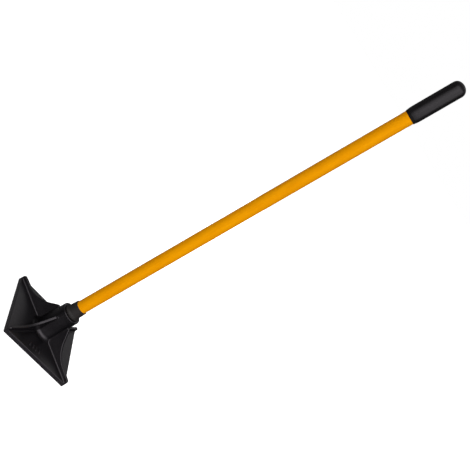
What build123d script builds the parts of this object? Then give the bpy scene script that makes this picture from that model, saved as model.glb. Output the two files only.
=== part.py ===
from build123d import *
from math import cos, radians, sin
import os

# Earth rammer: a square, ribbed cast-iron head on a glass-fibre shaft with a rubber grip.
# Millimetres. It stands upright on its flat working face: the origin is the middle of that face,
# +Z runs up the shaft, and X and Y are square to the sides of the head.

# Head plate
PLATE_SIDE = 203.2
PLATE_THICKNESS = 11.0
PLATE_CORNER_RADIUS = 1.6
PLATE_DRAFT = 3.0
PLATE_EDGE_RADIUS = 0.8

# Diagonal ribs: distances run out from the shaft's axis, heights from the working face
RIB_COUNT = 4
RIB_FIRST_ANGLE = 45.0
RIB_FOOT_WIDTH = 6.8
RIB_CREST_WIDTH = 6.2
RIB_FOOT_FILLET = 2.8
RIB_EDGE_RADIUS = 1.2
RIB_LAND_OUTER = (135.5, 21.5)
RIB_LAND_INNER = (108.0, 22.7)
RIB_NOSE_END = (142.5, 15.5)
RIB_NOSE_BULGE = (140.0, 19.6)
RIB_SWEEP_RADIUS = 75.0
RIB_SWEEP_ANGLE = 49.0
RIB_RISE_LENGTH = 29.8
RIB_INNER_END = 25.0
RIB_ROOT_HEIGHT = 1.0

# Socket that stands on the plate, with its blind tapered bore
SOCKET_FOOT_RADIUS = 29.4
SOCKET_TOP_RADIUS = 27.9
SOCKET_TOP = 97.4
SOCKET_FLARE_RADIUS = 11.0
SOCKET_EDGE_RADIUS = 1.3
BORE_FLOOR = 14.0
BORE_FOOT_RADIUS = 20.5
BORE_TOP_RADIUS = 22.0

# Raised casting mark on the plate: a plain row of bars
MARK_CENTRE = (-13.0, -80.0)
MARK_BAR_COUNT = 4
MARK_BAR_LENGTH = 13.0
MARK_BAR_WIDTH = 3.2
MARK_BAR_PITCH = 10.0
MARK_HEIGHT = 1.5

# Moulded ferrule: a taper sleeve in the socket, a groove at the socket's mouth, a bead, a neck and a collar
FERRULE_FLOOR = 6.0
GROOVE_RADIUS = 20.4
GROOVE_FOOT = 95.9
GROOVE_TOP = 99.0
BEAD_START = (22.0, 99.3)
BEAD_BULGE = (22.5, 100.1)
BEAD_END = (22.0, 101.0)
NECK_MIDDLE = (20.2, 103.0)
NECK_END = (19.1, 106.0)
COLLAR_TOP_RADIUS = 18.1
COLLAR_TOP = 127.0
COLLAR_EDGE_RADIUS = 1.0

# Shaft and what fills it
SHAFT_RADIUS = 31.75 / 2
SHAFT_WALL = 3.2
LOWER_PLUG_LENGTH = 150.0
UPPER_PLUG_LENGTH = 24.0
PLUG_HEAD_THICKNESS = 2.0

# Spring pin across the socket
PIN_RADIUS = 4.0
PIN_WALL = 1.5
PIN_SLIT = 1.2
PIN_LENGTH = 54.0
PIN_HEIGHT = 80.0
PIN_END_CHAMFER = 0.6

# Grip
OVERALL_LENGTH = 1115.0
GRIP_LENGTH = 126.0
GRIP_RADIUS = 18.25
GRIP_LIP_RADIUS = 16.7
GRIP_LEAD_LENGTH = 19.0
GRIP_SHOULDER_RADIUS = 15.0
GRIP_SHOULDER_ANGLE = 62.0
GRIP_END_WALL = 12.0

RIB_FLARE_HALF = RIB_FOOT_WIDTH / 2 + RIB_FOOT_FILLET
SOCKET_FLARE_REACH = SOCKET_FOOT_RADIUS + SOCKET_FLARE_RADIUS
SHAFT_BORE_RADIUS = SHAFT_RADIUS - SHAFT_WALL
SHAFT_FOOT = BORE_FLOOR + FERRULE_FLOOR
BORE_SLOPE = (BORE_TOP_RADIUS - BORE_FOOT_RADIUS) / (SOCKET_TOP - BORE_FLOOR)
SLEEVE_TOP_RADIUS = BORE_FOOT_RADIUS + BORE_SLOPE * (GROOVE_FOOT - BORE_FLOOR)
PLUG_HEAD_TOP = OVERALL_LENGTH - GRIP_END_WALL
SHAFT_TOP = PLUG_HEAD_TOP - PLUG_HEAD_THICKNESS
LOWER_PLUG_TOP = SHAFT_FOOT + LOWER_PLUG_LENGTH
UPPER_PLUG_FOOT = SHAFT_TOP - UPPER_PLUG_LENGTH
GRIP_FOOT = OVERALL_LENGTH - GRIP_LENGTH
GRIP_BARREL_FOOT = GRIP_FOOT + GRIP_LEAD_LENGTH
GRIP_SHOULDER_RISE = GRIP_SHOULDER_RADIUS * sin(radians(GRIP_SHOULDER_ANGLE))
GRIP_CROWN_EDGE_RADIUS = GRIP_RADIUS - GRIP_SHOULDER_RADIUS * (1 - cos(radians(GRIP_SHOULDER_ANGLE)))
GRIP_CROWN_RADIUS = GRIP_CROWN_EDGE_RADIUS / cos(radians(GRIP_SHOULDER_ANGLE))
GRIP_CROWN_RISE = GRIP_CROWN_RADIUS * (1 - sin(radians(GRIP_SHOULDER_ANGLE)))
GRIP_BARREL_TOP = OVERALL_LENGTH - GRIP_CROWN_RISE - GRIP_SHOULDER_RISE

os.makedirs("parts", exist_ok=True)

# Rammer head: the plate
with BuildPart() as plate:
    with BuildSketch(Plane.XY):
        RectangleRounded(PLATE_SIDE, PLATE_SIDE, PLATE_CORNER_RADIUS)
    extrude(amount=PLATE_THICKNESS, taper=PLATE_DRAFT)
    fillet(plate.faces().sort_by(Axis.Z)[-1].edges(), radius=PLATE_EDGE_RADIUS)

# The drafted outline of the plate carried upwards, which trims the outer ends of the ribs
with BuildPart() as rib_limit:
    with BuildSketch(Plane.XY):
        RectangleRounded(PLATE_SIDE, PLATE_SIDE, PLATE_CORNER_RADIUS)
    extrude(amount=SOCKET_TOP, taper=PLATE_DRAFT)

# One rib, lying along +X: its flared cross-section, cut to its side outline
with BuildPart() as rib:
    with BuildSketch(Plane.YZ):
        with BuildLine():
            flare = Polyline((0, RIB_ROOT_HEIGHT), (RIB_FLARE_HALF, RIB_ROOT_HEIGHT),
                             (RIB_FLARE_HALF, PLATE_THICKNESS))
            foot_end = (RIB_FOOT_WIDTH / 2, PLATE_THICKNESS + RIB_FOOT_FILLET)
            RadiusArc(flare @ 1, foot_end, RIB_FOOT_FILLET)
            Polyline(foot_end, (RIB_CREST_WIDTH / 2, SOCKET_TOP), (0, SOCKET_TOP))
            mirror(about=Plane.YZ)
        make_face()
    extrude(amount=PLATE_SIDE)
    with BuildSketch(Plane.XZ):
        with BuildLine():
            land = Line(RIB_LAND_OUTER, RIB_LAND_INNER)
            sweep_up = JernArc(land @ 1, land % 1, RIB_SWEEP_RADIUS, -RIB_SWEEP_ANGLE)
            rise = Line(sweep_up @ 1, sweep_up @ 1 + (sweep_up % 1) * RIB_RISE_LENGTH)
            Polyline(rise @ 1, (RIB_INNER_END, (rise @ 1).Y), (RIB_INNER_END, RIB_ROOT_HEIGHT),
                     (PLATE_SIDE, RIB_ROOT_HEIGHT), (PLATE_SIDE, RIB_NOSE_END[1]), RIB_NOSE_END)
            ThreePointArc(RIB_NOSE_END, RIB_NOSE_BULGE, land @ 0)
        make_face()
    extrude(amount=PLATE_SIDE, both=True, mode=Mode.INTERSECT)
    crest = [edge for edge in rib.edges() if edge.center().Z > RIB_NOSE_END[1] and abs(edge.center().Y) > 1]
    fillet([edge for edge in crest if edge.center().X > SOCKET_FOOT_RADIUS], radius=RIB_EDGE_RADIUS)

# The casting: plate, ribs, socket and mark in one piece
with BuildPart() as rammer_head:
    add(plate)
    with PolarLocations(0, RIB_COUNT, start_angle=RIB_FIRST_ANGLE):
        add(rib)
    add(rib_limit, mode=Mode.INTERSECT)
    with BuildSketch(Plane.XZ):
        with BuildLine():
            foot = Polyline((0, RIB_ROOT_HEIGHT), (SOCKET_FLARE_REACH, RIB_ROOT_HEIGHT),
                            (SOCKET_FLARE_REACH, PLATE_THICKNESS))
            wall_foot = (SOCKET_FOOT_RADIUS, PLATE_THICKNESS + SOCKET_FLARE_RADIUS)
            RadiusArc(foot @ 1, wall_foot, SOCKET_FLARE_RADIUS)
            wall = Line(wall_foot, (SOCKET_TOP_RADIUS, SOCKET_TOP - SOCKET_EDGE_RADIUS))
            mouth_edge = (SOCKET_TOP_RADIUS - SOCKET_EDGE_RADIUS, SOCKET_TOP)
            RadiusArc(wall @ 1, mouth_edge, -SOCKET_EDGE_RADIUS)
            Polyline(mouth_edge, (0, SOCKET_TOP), (0, RIB_ROOT_HEIGHT))
        make_face()
    revolve(axis=Axis.Z)
    with BuildSketch(Plane.XY.offset(PLATE_THICKNESS)):
        with Locations(MARK_CENTRE):
            with GridLocations(MARK_BAR_PITCH, 0, MARK_BAR_COUNT, 1):
                SlotOverall(MARK_BAR_LENGTH, MARK_BAR_WIDTH, rotation=90)
    extrude(amount=MARK_HEIGHT)
    with BuildSketch(Plane.XZ):
        Polygon((0, BORE_FLOOR), (BORE_FOOT_RADIUS, BORE_FLOOR), (BORE_TOP_RADIUS, SOCKET_TOP),
                (0, SOCKET_TOP), align=None)
    revolve(axis=Axis.Z, mode=Mode.SUBTRACT)
    with BuildSketch(Plane.YZ.offset(-PLATE_SIDE / 2)):
        with Locations((0, PIN_HEIGHT)):
            Circle(PIN_RADIUS)
    extrude(amount=PLATE_SIDE, mode=Mode.SUBTRACT)
rammer_head.part.label = "rammer_head"
export_step(rammer_head.part, "parts/rammer_head.step")


# Ferrule: taper sleeve, groove, bead, neck and collar
with BuildPart() as ferrule:
    with BuildSketch(Plane.XZ):
        with BuildLine():
            Polyline((0, SHAFT_FOOT), (0, BORE_FLOOR), (BORE_FOOT_RADIUS, BORE_FLOOR),
                     (SLEEVE_TOP_RADIUS, GROOVE_FOOT), (GROOVE_RADIUS, GROOVE_FOOT),
                     (GROOVE_RADIUS, GROOVE_TOP), BEAD_START)
            ThreePointArc(BEAD_START, BEAD_BULGE, BEAD_END)
            ThreePointArc(BEAD_END, NECK_MIDDLE, NECK_END)
            Polyline(NECK_END, (COLLAR_TOP_RADIUS, COLLAR_TOP - COLLAR_EDGE_RADIUS),
                     (COLLAR_TOP_RADIUS - COLLAR_EDGE_RADIUS, COLLAR_TOP), (SHAFT_RADIUS, COLLAR_TOP),
                     (SHAFT_RADIUS, SHAFT_FOOT), (0, SHAFT_FOOT))
        make_face()
    revolve(axis=Axis.Z)
    with BuildSketch(Plane.YZ.offset(-PLATE_SIDE / 2)):
        with Locations((0, PIN_HEIGHT)):
            Circle(PIN_RADIUS)
    extrude(amount=PLATE_SIDE, mode=Mode.SUBTRACT)
ferrule.part.label = "ferrule"
export_step(ferrule.part, "parts/ferrule.step")


# Shaft: a straight tube, drilled for the pin
with BuildPart() as shaft_tube:
    with BuildSketch(Plane.XY.offset(SHAFT_FOOT)):
        Circle(SHAFT_RADIUS)
        Circle(SHAFT_BORE_RADIUS, mode=Mode.SUBTRACT)
    extrude(amount=SHAFT_TOP - SHAFT_FOOT)
    with BuildSketch(Plane.YZ.offset(-PLATE_SIDE / 2)):
        with Locations((0, PIN_HEIGHT)):
            Circle(PIN_RADIUS)
    extrude(amount=PLATE_SIDE, mode=Mode.SUBTRACT)
shaft_tube.part.label = "shaft_tube"
export_step(shaft_tube.part, "parts/shaft_tube.step")


# Solid dowel in the foot of the tube, drilled for the pin
with BuildPart() as lower_plug:
    with BuildSketch(Plane.XY.offset(SHAFT_FOOT)):
        Circle(SHAFT_BORE_RADIUS)
    extrude(amount=LOWER_PLUG_LENGTH)
    with BuildSketch(Plane.YZ.offset(-PLATE_SIDE / 2)):
        with Locations((0, PIN_HEIGHT)):
            Circle(PIN_RADIUS)
    extrude(amount=PLATE_SIDE, mode=Mode.SUBTRACT)
lower_plug.part.label = "lower_plug"
export_step(lower_plug.part, "parts/lower_plug.step")


# Foam core between the two plugs
with BuildPart() as shaft_core:
    with BuildSketch(Plane.XY.offset(LOWER_PLUG_TOP)):
        Circle(SHAFT_BORE_RADIUS)
    extrude(amount=UPPER_PLUG_FOOT - LOWER_PLUG_TOP)
shaft_core.part.label = "shaft_core"
export_step(shaft_core.part, "parts/shaft_core.step")


# Headed plug in the top of the tube
with BuildPart() as upper_plug:
    with BuildSketch(Plane.XY.offset(UPPER_PLUG_FOOT)):
        Circle(SHAFT_BORE_RADIUS)
    extrude(amount=UPPER_PLUG_LENGTH)
    with BuildSketch(Plane.XY.offset(SHAFT_TOP)):
        Circle(SHAFT_RADIUS)
    extrude(amount=PLUG_HEAD_THICKNESS)
upper_plug.part.label = "upper_plug"
export_step(upper_plug.part, "parts/upper_plug.step")


# Spring pin: a slit tube with chamfered ends
with BuildPart() as cross_pin:
    with BuildSketch(Plane.YZ.offset(-PIN_LENGTH / 2)):
        with Locations((0, PIN_HEIGHT)):
            Circle(PIN_RADIUS)
    extrude(amount=PIN_LENGTH)
    chamfer(cross_pin.edges().filter_by(GeomType.CIRCLE), length=PIN_END_CHAMFER)
    with BuildSketch(Plane.YZ.offset(-PIN_LENGTH / 2)):
        with Locations((0, PIN_HEIGHT)):
            Circle(PIN_RADIUS - PIN_WALL)
        with Locations((0, PIN_HEIGHT + PIN_RADIUS / 2)):
            Rectangle(PIN_SLIT, PIN_RADIUS + PIN_WALL)
    extrude(amount=PIN_LENGTH, mode=Mode.SUBTRACT)
cross_pin.part.label = "cross_pin"
export_step(cross_pin.part, "parts/cross_pin.step")


# Grip: a closed sleeve with a rounded end
with BuildPart() as grip_sleeve:
    with BuildSketch(Plane.XZ):
        with BuildLine():
            barrel = Line((GRIP_RADIUS, GRIP_BARREL_TOP), (GRIP_RADIUS, GRIP_BARREL_FOOT))
            lead = TangentArc(barrel @ 1, (GRIP_LIP_RADIUS, GRIP_FOOT), tangent=barrel % 1)
            shoulder = JernArc(barrel @ 0, (0, 1), GRIP_SHOULDER_RADIUS, GRIP_SHOULDER_ANGLE)
            crown_turn = 90 - GRIP_SHOULDER_ANGLE
            JernArc(shoulder @ 1, shoulder % 1, GRIP_CROWN_RADIUS, crown_turn)
            Polyline(lead @ 1, (SHAFT_RADIUS, GRIP_FOOT), (SHAFT_RADIUS, PLUG_HEAD_TOP),
                     (0, PLUG_HEAD_TOP), (0, OVERALL_LENGTH))
        make_face()
    revolve(axis=Axis.Z)
grip_sleeve.part.label = "grip_sleeve"
export_step(grip_sleeve.part, "parts/grip_sleeve.step")
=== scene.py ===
from math import cos, pi, radians, sin, tan

import bpy
from mathutils import Matrix, Vector


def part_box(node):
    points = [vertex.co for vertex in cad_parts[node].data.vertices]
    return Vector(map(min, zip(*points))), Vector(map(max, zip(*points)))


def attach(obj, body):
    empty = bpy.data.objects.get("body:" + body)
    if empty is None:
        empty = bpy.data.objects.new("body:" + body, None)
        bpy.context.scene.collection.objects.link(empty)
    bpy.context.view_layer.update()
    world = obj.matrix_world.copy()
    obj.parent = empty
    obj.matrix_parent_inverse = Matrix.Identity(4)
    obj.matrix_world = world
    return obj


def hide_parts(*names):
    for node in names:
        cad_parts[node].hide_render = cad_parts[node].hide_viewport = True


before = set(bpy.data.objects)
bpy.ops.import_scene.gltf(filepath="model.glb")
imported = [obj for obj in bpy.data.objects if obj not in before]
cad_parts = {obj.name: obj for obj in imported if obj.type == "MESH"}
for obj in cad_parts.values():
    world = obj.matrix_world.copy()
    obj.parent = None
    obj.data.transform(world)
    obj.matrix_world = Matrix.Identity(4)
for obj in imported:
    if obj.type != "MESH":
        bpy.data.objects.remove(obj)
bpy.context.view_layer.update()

# Metres, in the frame of the CAD model: the rammer stands on its working face, +Z up the shaft.
MM = 0.001
TINY = 1e-7
LATHE_STEPS = 128
ARC_STEPS = 6

# Camera: where it stands, the point it looks at, and how far it leans over sideways
CAMERA_POSITION = Vector((-0.8499, -1.5928, 1.0279))
CAMERA_TARGET = Vector((0.0275, -0.0153, 0.5371))
CAMERA_ROLL = radians(60.18)
CAMERA_LENS = 64.6
CAMERA_REACH = 50
SENSOR_WIDTH = 36.0

# Surround: each patch of light has a direction that points at it, the angles from there at which it
# starts to fade and has faded out, and its brightness
FRONT_PATCH = ((-0.14, -0.96, 0.2), radians(48), radians(66), 2.2)
BACK_PATCH = ((0.45, 0.80, 1.0), radians(10), radians(55), 0.40)
LEFT_PATCH = ((-0.64, 0.77, -0.45), radians(15), radians(45), 0.15)
GROUND_LEVEL = 0.025
BACKDROP_LEVEL = 1.0

# The front patch's level edges: the heights of a direction at which it is dark and at which it is full
FRONT_BOTTOM_EDGE = (-0.26, -0.04)
FRONT_TOP_EDGE = (0.84, 0.60)

# Soft boxes: position, the point each one faces, its side, and its watts
KEY_BOX = ((-0.8, -2.4, 1.5), (0, 0, 0.9), 1.2, 4)
HEAD_BOX = ((-0.36, -0.19, 0.62), (0, 0, 0.05), 0.35, 1.0)
LEFT_FILL = ((-2.2, 1.0, 0.9), (0, 0, 0.6), 1.2, 7)
BACK_FILL = ((1.5, 2.1, 1.2), (0, 0, 0.6), 1.5, 36)

# Floor: white paper just under the working face, with a glow of its own in place of reflected light
FLOOR_SIZE = 60
FLOOR_DROP = 0.2 * MM
FLOOR_ROUGHNESS = 0.95
FLOOR_GLOW = 0.85

# Head: how finely the casting is remeshed, and how much it is smoothed after that
HEAD_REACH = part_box("rammer_head")[1][0]
HEAD_VOXEL = 0.7 * MM
HEAD_SMOOTHING = 0.5
HEAD_SMOOTHING_ROUNDS = 2

# Painted highlight on the head: how sharp an edge is where its painted highlight starts and is full, and
# how much the painted highlight shows
EDGE_HIGHLIGHT_SHARPNESS = (0.53, 0.60)
PAINTED_HIGHLIGHT_STRENGTH = 0.60

# Painted highlight on the head's four sides: how far inside its reach it starts and is full, and its
# heights
SIDE_HIGHLIGHT_START = 1.6 * MM
SIDE_HIGHLIGHT_FULL = 0.9 * MM
SIDE_HIGHLIGHT_HEIGHTS = (0.5 * MM, 10.6 * MM)
SIDE_HIGHLIGHT_FADE = 0.8 * MM

# Painted highlight on the raised mark: the box round its bars, and how strong it is beside the painted
# highlight on the sides
MARK_X = (-36 * MM, 10 * MM)
MARK_Y = (-88 * MM, -72 * MM)
MARK_Z = (11.9 * MM, 13 * MM)
MARK_FADE = 1.0 * MM
MARK_FADE_Z = 0.3 * MM
MARK_HIGHLIGHT = 1.6

# Grip: the closed rubber sleeve, as tall and wide as its CAD solid
GRIP_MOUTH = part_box("grip_sleeve")[0][2]
GRIP_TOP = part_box("grip_sleeve")[1][2]
GRIP_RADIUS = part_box("grip_sleeve")[1][0]

# Its mouth: a band that ends in a small step. The radii are at the rim, the band's top and past the step
GRIP_BAND_TOP = GRIP_MOUTH + 6.2 * MM
GRIP_RIM_RADIUS = 16.7 * MM
GRIP_BAND_RADIUS = 17.35 * MM
GRIP_STEP_RADIUS = 17.7 * MM
GRIP_STEP_RISE = 0.35 * MM
GRIP_RIM_ROUNDING = 0.5 * MM
GRIP_STEP_ROUNDING = 0.3 * MM
GRIP_BAND_FADE = 0.3 * MM

# Its slow swell from there to the barrel, and the shoulder that turns in to the crown
GRIP_SWELL_RADIUS = 18.1 * MM
GRIP_SWELL_HEIGHT = GRIP_MOUTH + 13 * MM
GRIP_BARREL_FOOT = GRIP_MOUTH + 24 * MM
GRIP_SWELL_ROUNDING = 6 * MM
GRIP_SHOULDER_RADIUS = 15 * MM
GRIP_SHOULDER_TURN = radians(62)

# Colours
IRON_DARK = (0.0013, 0.0012, 0.0017, 1)
IRON_LIGHT = (0.0030, 0.0027, 0.0036, 1)
# A lighter grey painted on the head's edges, sides and raised mark as a highlight
IRON_PAINTED_HIGHLIGHT = (0.034, 0.031, 0.036, 1)
NYLON_DARK = (0.0125, 0.0105, 0.0105, 1)
NYLON_LIGHT = (0.0185, 0.0155, 0.0150, 1)
YELLOW_DEEP = (0.86, 0.315, 0.0005, 1)
YELLOW_LIGHT = (0.94, 0.375, 0.001, 1)
YELLOW_STREAK = (0.66, 0.22, 0.0005, 1)
YELLOW_VEIL = (0.97, 0.45, 0.004, 1)
RUBBER_DARK = (0.0050, 0.0045, 0.0050, 1)
RUBBER_LIGHT = (0.0080, 0.0072, 0.0080, 1)
RUBBER_SCUFF = (0.02, 0.02, 0.02, 1)
# Near-black painted on the grip's mouth band as shade
RUBBER_MOUTH_SHADE = (0.002, 0.002, 0.002, 1)
OXIDE_DARK = (0.05, 0.05, 0.05, 1)
OXIDE_LIGHT = (0.13, 0.13, 0.13, 1)
WOOD_DARK = (0.45, 0.28, 0.14, 1)
WOOD_LIGHT = (0.68, 0.48, 0.28, 1)
FOAM_DARK = (0.62, 0.52, 0.3, 1)
FOAM_LIGHT = (0.85, 0.76, 0.52, 1)
PAPER = (0.9, 0.9, 0.9, 1)
WHITE = (1, 1, 1, 1)

# Tints of the shine
COOL_TINT = (1.0, 0.92, 1.0, 1)
FAINT_TINT = (1.0, 0.94, 1.0, 1)
GOLD_TINT = (1.0, 0.62, 0.05, 1)

# The values that a noise mostly stays between, and the distances from a foam cell's middle to its rim
NOISE_RANGE = (0.3, 0.7)
CELL_RANGE = (0.0, 0.6)

# A mix node's sockets for colours, which share their names with its sockets for numbers
MIX_FIRST_COLOUR = 6
MIX_SECOND_COLOUR = 7
MIX_COLOUR_RESULT = 2


# ---------------------------------------------------------------- camera, lights and floor

def link(name, data):
    """A new object in the scene."""
    thing = bpy.data.objects.new(name, data)
    bpy.context.scene.collection.objects.link(thing)
    return thing


def add_camera():
    """The camera looks a little down and leans over, so that the shaft rises to the right."""
    forward = (CAMERA_TARGET - CAMERA_POSITION).normalized()
    level_right = forward.cross(Vector((0, 0, 1))).normalized()
    right = Matrix.Rotation(-CAMERA_ROLL, 3, forward) @ level_right
    up = right.cross(forward)
    data = bpy.data.cameras.new("camera")
    data.lens = CAMERA_LENS
    data.sensor_width = SENSOR_WIDTH
    data.clip_end = CAMERA_REACH
    camera = link("camera", data)
    turn = Matrix((right, up, -forward)).transposed()
    camera.matrix_world = Matrix.LocRotScale(CAMERA_POSITION, turn, None)
    bpy.context.scene.camera = camera


def add_area_light(name, position, target, size, watts, shows_in_shine=True, lights_matt=True):
    """A square soft box that the camera doesn't see; it can be left out of shine or of matt light."""
    data = bpy.data.lights.new(name, "AREA")
    data.shape = "SQUARE"
    data.size = size
    data.energy = watts
    light = link(name, data)
    light.visible_camera = False
    light.visible_glossy = shows_in_shine
    light.visible_diffuse = lights_matt
    light.location = position
    light.rotation_euler = (Vector(target) - Vector(position)).to_track_quat("-Z", "Y").to_euler()


def add_floor():
    """A wide pale floor under the working face, which throws no light back on the object."""
    mesh = bpy.data.meshes.new("floor")
    half = FLOOR_SIZE / 2
    corners = [(-half, -half, 0), (half, -half, 0), (half, half, 0), (-half, half, 0)]
    mesh.from_pydata(corners, [], [tuple(range(len(corners)))])
    floor = link("floor", mesh)
    floor.location.z = -FLOOR_DROP
    floor.visible_diffuse = False
    floor.visible_glossy = False
    paper = Surface("floor_paper").finish(PAPER, FLOOR_ROUGHNESS, Specular_IOR_Level=0.0,
                                          Emission_Color=WHITE, Emission_Strength=FLOOR_GLOW)
    mesh.materials.append(paper)


# ---------------------------------------------------------------- node helpers

class Nodes:
    """A short way to write a node tree."""

    def __init__(self, owner):
        self.owner = owner
        owner.use_nodes = True
        self.tree = owner.node_tree

    def add(self, kind, settings=None, **inputs):
        """A node of that kind; an input is given as a number, a colour or another node's output."""
        node = self.tree.nodes.new(kind)
        for key, value in (settings or {}).items():
            setattr(node, key, value)
        for key, value in inputs.items():
            self.set(node.inputs[key.replace("_", " ")], value)
        return node

    def set(self, socket, value):
        """Links an output to the socket, or gives it a fixed value."""
        if isinstance(value, bpy.types.NodeSocket):
            self.tree.links.new(value, socket)
        else:
            socket.default_value = value

    def axes(self, vector):
        """The X, Y and Z of a vector, one output each."""
        return self.add("ShaderNodeSeparateXYZ", Vector=vector).outputs

    def map(self, value, low, high, to_low, to_high):
        """Takes low to to_low and high to to_high, in a straight line between them."""
        node = self.add("ShaderNodeMapRange", Value=value, From_Min=low, From_Max=high,
                        To_Min=to_low, To_Max=to_high)
        return node.outputs["Result"]

    def fade(self, value, zero_at, full_at, level=1.0):
        """A smooth step from 0 to level."""
        node = self.add("ShaderNodeMapRange", {"interpolation_type": "SMOOTHSTEP"}, Value=value,
                        From_Min=zero_at, From_Max=full_at, To_Min=0.0, To_Max=level)
        return node.outputs["Result"]

    def maths(self, operation, first, second=0.0):
        """One sum; an operation on a single value leaves the second out."""
        node = self.add("ShaderNodeMath", {"operation": operation})
        self.set(node.inputs[0], first)
        self.set(node.inputs[1], second)
        return node.outputs["Value"]

    def mix(self, factor, first, second):
        """A blend of two colours."""
        node = self.add("ShaderNodeMix", {"data_type": "RGBA"})
        self.set(node.inputs["Factor"], factor)
        self.set(node.inputs[MIX_FIRST_COLOUR], first)
        self.set(node.inputs[MIX_SECOND_COLOUR], second)
        return node.outputs[MIX_COLOUR_RESULT]


class Surface(Nodes):
    """A material's node tree. Patterns are laid out in the piece's own coordinates, in metres."""

    def __init__(self, name):
        super().__init__(bpy.data.materials.new(name))
        self.shader = self.tree.nodes["Principled BSDF"]
        self.position = self.tree.nodes.new("ShaderNodeTexCoord").outputs["Object"]

    def noise(self, scale, detail, roughness):
        """Cloudy noise with about scale features in a metre."""
        return self.add("ShaderNodeTexNoise", Vector=self.position, Scale=scale, Detail=detail,
                        Roughness=roughness).outputs["Fac"]

    def stretched_noise(self, scales, detail, roughness):
        """Noise with its own scale along each axis."""
        vector = self.add("ShaderNodeMapping", Vector=self.position, Scale=scales).outputs["Vector"]
        return self.add("ShaderNodeTexNoise", Vector=vector, Scale=1.0, Detail=detail,
                        Roughness=roughness).outputs["Fac"]

    def cells(self, scale):
        """The distance to the middle of the nearest cell."""
        return self.add("ShaderNodeTexVoronoi", Vector=self.position, Scale=scale).outputs["Distance"]

    def vary(self, noise, low, high):
        """A value that goes from low to high with a noise."""
        return self.map(noise, *NOISE_RANGE, low, high)

    def blend(self, noise, first, second):
        """A colour that goes from the first to the second with a noise."""
        return self.mix(self.vary(noise, 0.0, 1.0), first, second)

    def within(self, value, low, high, fade):
        """1 where value lies between low and high, and down to 0 at a distance of fade outside them."""
        rise = self.map(value, low - fade, low, 0.0, 1.0)
        return self.maths("MULTIPLY", rise, self.map(value, high, high + fade, 1.0, 0.0))

    def bump(self, height, depth, strength, normal=None):
        """Small relief, laid over the relief of normal."""
        node = self.add("ShaderNodeBump", Height=height, Distance=depth, Strength=strength)
        if normal:
            self.set(node.inputs["Normal"], normal)
        return node.outputs["Normal"]

    def finish(self, colour, roughness, normal=None, **constants):
        """Joins everything to the shader and gives back the material."""
        self.set(self.shader.inputs["Base Color"], colour)
        self.set(self.shader.inputs["Roughness"], roughness)
        if normal:
            self.set(self.shader.inputs["Normal"], normal)
        for key, value in constants.items():
            self.shader.inputs[key.replace("_", " ")].default_value = value
        return self.owner


class Sky(Nodes):
    """The surround's node tree: what lights the object, from each direction."""

    def __init__(self, name):
        super().__init__(bpy.data.worlds.new(name))
        self.direction = self.tree.nodes.new("ShaderNodeTexCoord").outputs["Generated"]

    def patch(self, towards, fades_from, fades_to, level):
        """A soft round patch of light around one direction."""
        dot = self.add("ShaderNodeVectorMath", {"operation": "DOT_PRODUCT"})
        self.set(dot.inputs[0], self.direction)
        self.set(dot.inputs[1], Vector(towards).normalized())
        return self.fade(dot.outputs["Value"], cos(fades_to), cos(fades_from), level)


def add_world():
    """A surround that the camera sees as white, and that lights the object with three patches of light."""
    n = Sky("studio")
    bpy.context.scene.world = n.owner
    height = n.axes(n.direction)["Z"]
    window = n.maths("MULTIPLY", n.fade(height, *FRONT_BOTTOM_EDGE), n.fade(height, *FRONT_TOP_EDGE))
    level = n.maths("ADD", n.maths("MULTIPLY", n.patch(*FRONT_PATCH), window), GROUND_LEVEL)
    for patch in (BACK_PATCH, LEFT_PATCH):
        level = n.maths("ADD", n.patch(*patch), level)
    gradient = n.tree.nodes["Background"]
    gradient.inputs["Color"].default_value = WHITE
    n.set(gradient.inputs["Strength"], level)
    backdrop = n.add("ShaderNodeBackground", Color=WHITE, Strength=BACKDROP_LEVEL)
    seen = n.add("ShaderNodeMixShader", Fac=n.add("ShaderNodeLightPath").outputs["Is Camera Ray"])
    n.set(seen.inputs[1], gradient.outputs["Background"])
    n.set(seen.inputs[2], backdrop.outputs["Background"])
    n.set(n.tree.nodes["World Output"].inputs["Surface"], seen.outputs["Shader"])


# ---------------------------------------------------------------- materials

def iron_painted_highlight(n):
    """Where highlight is painted on the enamel: most on outer edges, the plate's sides and the raised
    mark, broken up by noise.
    """
    sharpness = n.add("ShaderNodeNewGeometry").outputs["Pointiness"]
    patches = n.map(n.noise(scale=60, detail=5, roughness=0.7), 0.4, 0.65, 0.2, 1.0)
    edges = n.maths("MULTIPLY", n.map(sharpness, *EDGE_HIGHLIGHT_SHARPNESS, 0.0, 1.0), patches)
    x, y, z = n.axes(n.position)
    reach = n.maths("MAXIMUM", n.maths("ABSOLUTE", x), n.maths("ABSOLUTE", y))
    sides = n.map(reach, HEAD_REACH - SIDE_HIGHLIGHT_START, HEAD_REACH - SIDE_HIGHLIGHT_FULL, 0.0, 1.0)
    sides = n.maths("MULTIPLY", sides, n.within(z, *SIDE_HIGHLIGHT_HEIGHTS, SIDE_HIGHLIGHT_FADE))
    mark = n.maths("MULTIPLY", n.within(x, *MARK_X, MARK_FADE), n.within(y, *MARK_Y, MARK_FADE))
    mark = n.maths("MULTIPLY", mark, n.within(z, *MARK_Z, MARK_FADE_Z))
    # Noise that breaks up the painted highlight on the sides and the mark
    blotches = n.map(n.noise(scale=420, detail=4, roughness=0.75), 0.42, 0.62, 0.15, 1.0)
    highlit = n.maths("MULTIPLY", n.maths("MAXIMUM", sides, n.maths("MULTIPLY", mark, MARK_HIGHLIGHT)), blotches)
    return n.maths("MAXIMUM", edges, highlit)


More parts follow.
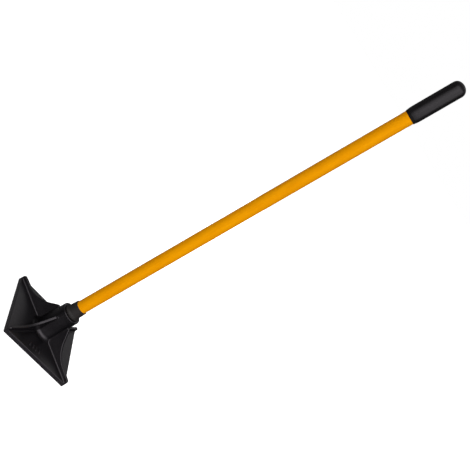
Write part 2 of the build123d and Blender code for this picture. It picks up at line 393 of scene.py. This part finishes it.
def enamelled_iron():
    """Satin black enamel over a sand-cast surface: fine pits, a slow wave, and a highlight painted on its
    edges, sides and raised mark.
    """
    n = Surface("enamelled_iron")
    wave = n.noise(scale=28, detail=3, roughness=0.5)
    grain = n.noise(scale=900, detail=3, roughness=0.6)
    pits = n.map(n.cells(420), 0.0, 0.35, 0.0, 1.0)
    enamel = n.blend(wave, IRON_DARK, IRON_LIGHT)
    # Painted highlight: the enamel is lightened towards grey on edges, sides and the mark
    colour = n.mix(n.maths("MULTIPLY", iron_painted_highlight(n), PAINTED_HIGHLIGHT_STRENGTH), enamel, IRON_PAINTED_HIGHLIGHT)
    roughness = n.map(n.maths("ADD", wave, n.maths("MULTIPLY", grain, 0.35)), 0.4, 1.0, 0.30, 0.42)
    normal = n.bump(wave, depth=0.5 * MM, strength=0.5)
    relief = n.maths("ADD", grain, n.maths("MULTIPLY", pits, 0.5))
    normal = n.bump(relief, depth=0.09 * MM, strength=0.6, normal=normal)
    return n.finish(colour, roughness, normal, Specular_IOR_Level=0.5, Specular_Tint=COOL_TINT)


def moulded_nylon():
    """Black glass-filled nylon with a fine spark-eroded texture."""
    n = Surface("moulded_nylon")
    cloud = n.noise(scale=60, detail=4, roughness=0.6)
    normal = n.bump(n.noise(scale=1500, detail=2, roughness=0.5), depth=0.05 * MM, strength=0.6)
    return n.finish(n.blend(cloud, NYLON_DARK, NYLON_LIGHT), n.vary(cloud, 0.56, 0.70), normal,
                    Specular_IOR_Level=0.3)


def glass_fibre():
    """Yellow pigmented laminate: fibres that run up the shaft under a thin clear skin, faintly mottled."""
    n = Surface("glass_fibre")
    fibres = n.stretched_noise(scales=(900, 900, 14), detail=5, roughness=0.65)
    mottle = n.stretched_noise(scales=(45, 45, 12), detail=4, roughness=0.6)
    veil = n.stretched_noise(scales=(220, 220, 160), detail=3, roughness=0.5)
    yellow = n.blend(mottle, YELLOW_DEEP, YELLOW_LIGHT)
    streaks = n.mix(n.map(fibres, 0.35, 0.7, 0.0, 0.35), yellow, YELLOW_STREAK)
    colour = n.mix(n.map(veil, 0.55, 0.8, 0.0, 0.25), streaks, YELLOW_VEIL)
    roughness = n.map(n.maths("ADD", mottle, fibres), 0.6, 1.4, 0.34, 0.48)
    normal = n.bump(fibres, depth=0.05 * MM, strength=0.5)
    normal = n.bump(veil, depth=0.04 * MM, strength=0.4, normal=normal)
    return n.finish(colour, roughness, normal, Specular_IOR_Level=0.15, Specular_Tint=GOLD_TINT)


def grip_rubber():
    """Charcoal rubber with a fine matt skin, a few lighter scuffs, and a band at its mouth that is rougher
    and painted darker as shade.
    """
    n = Surface("grip_rubber")
    cloud = n.noise(scale=40, detail=4, roughness=0.6)
    blotches = n.stretched_noise(scales=(160, 160, 35), detail=5, roughness=0.7)
    colour = n.blend(cloud, RUBBER_DARK, RUBBER_LIGHT)
    colour = n.mix(n.map(blotches, 0.58, 0.8, 0.0, 0.35), colour, RUBBER_SCUFF)
    height = n.axes(n.position)["Z"]
    band = n.map(height, GRIP_BAND_TOP - GRIP_BAND_FADE, GRIP_BAND_TOP + GRIP_BAND_FADE, 1.0, 0.0)
    # Painted shade: the mouth band is darkened to near black
    colour = n.mix(band, colour, RUBBER_MOUTH_SHADE)
    roughness = n.maths("ADD", n.vary(cloud, 0.34, 0.42), n.maths("MULTIPLY", band, 0.4))
    normal = n.bump(n.noise(scale=1100, detail=3, roughness=0.6), depth=0.05 * MM, strength=0.5)
    return n.finish(colour, roughness, normal, Specular_IOR_Level=0.3, Specular_Tint=FAINT_TINT)


def black_oxide_steel():
    """Spring steel with a black oxide skin, brighter where the mill marks show."""
    n = Surface("black_oxide_steel")
    marks = n.stretched_noise(scales=(60, 1400, 1400), detail=4, roughness=0.6)
    colour = n.mix(n.map(marks, 0.4, 0.7, 0.0, 1.0), OXIDE_DARK, OXIDE_LIGHT)
    normal = n.bump(marks, depth=0.03 * MM, strength=0.4)
    return n.finish(colour, n.vary(marks, 0.3, 0.45), normal, Metallic=0.85)


def turned_wood():
    """Plain hardwood, grain along the dowel."""
    n = Surface("turned_wood")
    grain = n.stretched_noise(scales=(500, 500, 18), detail=6, roughness=0.6)
    colour = n.blend(grain, WOOD_DARK, WOOD_LIGHT)
    normal = n.bump(grain, depth=0.1 * MM, strength=0.5)
    return n.finish(colour, n.vary(grain, 0.5, 0.65), normal)


def core_foam():
    """Closed-cell foam."""
    n = Surface("core_foam")
    cells = n.cells(700)
    colour = n.mix(n.map(cells, *CELL_RANGE, 0.0, 1.0), FOAM_DARK, FOAM_LIGHT)
    normal = n.bump(cells, depth=0.3 * MM, strength=0.6)
    return n.finish(colour, n.map(cells, *CELL_RANGE, 0.75, 0.9), normal)


# ---------------------------------------------------------------- shapes

def rounded(corners):
    """An open profile of (radius, height, rounding) corners, with each rounding drawn as an arc."""
    points = []
    for index, (r, z, rounding) in enumerate(corners):
        here = Vector((r, z))
        if rounding == 0:
            points.append(here)
            continue
        into = (Vector(corners[index - 1][:2]) - here).normalized()
        out = (Vector(corners[index + 1][:2]) - here).normalized()
        half = into.angle(out) / 2
        centre = here + (into + out).normalized() * rounding / sin(half)
        spoke = here + into * rounding / tan(half) - centre
        turn = (pi - 2 * half) * (1 if into.cross(out) < 0 else -1)
        for step in range(ARC_STEPS + 1):
            points.append(centre + Matrix.Rotation(turn * step / ARC_STEPS, 2) @ spoke)
    return points


def arc(radius, centre, start, end):
    """Points on an arc, from one angle above level to another."""
    points = []
    for step in range(ARC_STEPS * 2 + 1):
        angle = start + (end - start) * step / (ARC_STEPS * 2)
        points.append(centre + radius * Vector((cos(angle), sin(angle))))
    return points


def lathe(name, points):
    """A solid of revolution about Z from (radius, height) points that start and end on the axis."""
    rings, vertices, faces = [], [], []
    for r, z in points:
        if r < TINY:
            rings.append([len(vertices)] * LATHE_STEPS)
            vertices.append((0, 0, z))
            continue
        rings.append(list(range(len(vertices), len(vertices) + LATHE_STEPS)))
        for step in range(LATHE_STEPS):
            angle = 2 * pi * step / LATHE_STEPS
            vertices.append((r * cos(angle), r * sin(angle), z))
    for low, high in zip(rings, rings[1:]):
        for step in range(LATHE_STEPS):
            after = (step + 1) % LATHE_STEPS
            corners = [low[step], low[after], high[after], high[step]]
            faces.append([v for place, v in enumerate(corners) if v not in corners[:place]])
    mesh = bpy.data.meshes.new(name)
    mesh.from_pydata(vertices, [], [face for face in faces if len(face) > 2])
    mesh.validate()
    mesh.update()
    return link(name, mesh)


def apply_modifiers(piece):
    """Bakes a piece's modifiers into its mesh."""
    graph = bpy.context.evaluated_depsgraph_get()
    mesh = bpy.data.meshes.new_from_object(piece.evaluated_get(graph))
    piece.modifiers.clear()
    piece.data = mesh


def settle(piece, material, node):
    """Gives a finished piece its material, smooth shading and its body, and hides the CAD node that it
    stands for.
    """
    piece.data.materials.clear()
    piece.data.materials.append(material)
    for face in piece.data.polygons:
        face.use_smooth = True
    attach(piece, "root")
    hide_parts(node)


def make_head():
    """The casting: the CAD head with every edge and inner corner softened as sand casting leaves them."""
    piece = link("head_casting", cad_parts["rammer_head"].data.copy())
    remesh = piece.modifiers.new("remesh", "REMESH")
    remesh.mode = "VOXEL"
    remesh.voxel_size = HEAD_VOXEL
    smooth = piece.modifiers.new("smooth", "SMOOTH")
    smooth.factor = HEAD_SMOOTHING
    smooth.iterations = HEAD_SMOOTHING_ROUNDS
    apply_modifiers(piece)
    settle(piece, enamelled_iron(), "rammer_head")


def make_grip():
    """The grip: rolled mouth with its band, a slow swell to the barrel, and a rounded closed end."""
    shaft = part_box("shaft_tube")[1][0]
    plug_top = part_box("upper_plug")[1][2]
    turn = GRIP_SHOULDER_TURN
    crown = (GRIP_RADIUS - GRIP_SHOULDER_RADIUS * (1 - cos(turn))) / cos(turn)
    barrel_top = GRIP_TOP - crown * (1 - sin(turn)) - GRIP_SHOULDER_RADIUS * sin(turn)
    points = rounded([(0, plug_top, 0), (shaft, plug_top, 0),
                      (shaft, GRIP_MOUTH, GRIP_STEP_ROUNDING),
                      (GRIP_RIM_RADIUS, GRIP_MOUTH, GRIP_RIM_ROUNDING),
                      (GRIP_BAND_RADIUS, GRIP_BAND_TOP, GRIP_STEP_ROUNDING),
                      (GRIP_STEP_RADIUS, GRIP_BAND_TOP + GRIP_STEP_RISE, GRIP_STEP_ROUNDING),
                      (GRIP_SWELL_RADIUS, GRIP_SWELL_HEIGHT, GRIP_SWELL_ROUNDING),
                      (GRIP_RADIUS, GRIP_BARREL_FOOT, GRIP_SWELL_ROUNDING),
                      (GRIP_RADIUS, barrel_top, 0)])[:-1]
    points += arc(GRIP_SHOULDER_RADIUS, Vector((GRIP_RADIUS - GRIP_SHOULDER_RADIUS, barrel_top)), 0, turn)
    points += arc(crown, Vector((0, GRIP_TOP - crown)), turn, pi / 2)[1:-1]
    points.append((0, GRIP_TOP))
    settle(lathe("grip_cover", points), grip_rubber(), "grip_sleeve")


make_head()
make_grip()

for node, make_material in (("ferrule", moulded_nylon), ("shaft_tube", glass_fibre),
                            ("cross_pin", black_oxide_steel), ("lower_plug", turned_wood),
                            ("shaft_core", core_foam), ("upper_plug", moulded_nylon)):
    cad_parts[node].material_slots[0].material = make_material()

add_camera()
add_world()
add_floor()
add_area_light("key_box", *KEY_BOX)
add_area_light("head_box", *HEAD_BOX, lights_matt=False)
add_area_light("left_fill", *LEFT_FILL, shows_in_shine=False)
add_area_light("back_fill", *BACK_FILL, shows_in_shine=False)

bpy.context.scene.view_settings.view_transform = "Standard"
